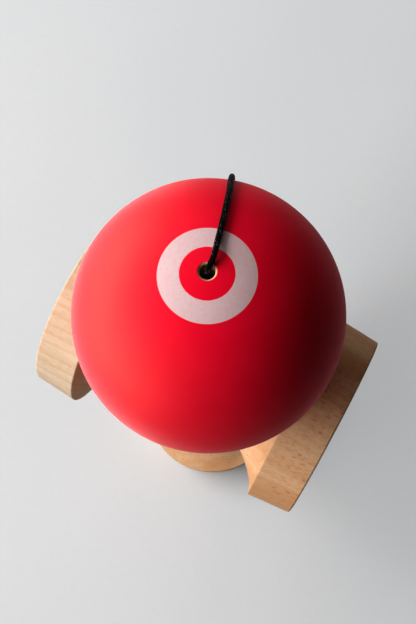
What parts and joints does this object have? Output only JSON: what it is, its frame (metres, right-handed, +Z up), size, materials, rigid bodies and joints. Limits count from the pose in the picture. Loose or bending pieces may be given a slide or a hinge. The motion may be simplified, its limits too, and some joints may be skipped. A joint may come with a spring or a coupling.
{
  "type": "kendama",
  "caption": "Kendama standing on its base cup: a painted ball rests on the spike of a turned beech handle with a two-cup crosspiece, tied to it by a thin string.",
  "frame": {"origin": "on the table at the centre of the base cup's rim, on the handle's axis", "axes": "+Z up the handle to the spike, +X along the crosspiece towards the small cup, +Y towards the side where the string is tied"},
  "size_m": [0.0761, 0.0821, 0.1824],
  "materials": {
    "beech": "satin",
    "red_paint": "matte",
    "bead_wood": "satin",
    "black_string": "matte"
  },
  "bodies": {
    "handle_body": {"handle": "beech", "crosspiece": "beech", "handle_knot": "black_string", "string": "black_string"},
    "bead_body": {"bead": "bead_wood", "ball_knot": "black_string"},
    "ball_body": {"ball": "red_paint"}
  },
  "joints": [
    {"name": "ball_lift", "type": "slide", "parent": "handle_body", "child": "bead_body", "axis": [0, 0, 1], "range_m": [0, 0.045], "deforming": ["string"]},
    {"name": "ball_spin", "type": "hinge", "parent": "bead_body", "child": "ball_body", "pos_m": [0, 0, 0.151], "axis": [-0.0288, 0.0519, 0.9982], "continuous": true}
  ]
}
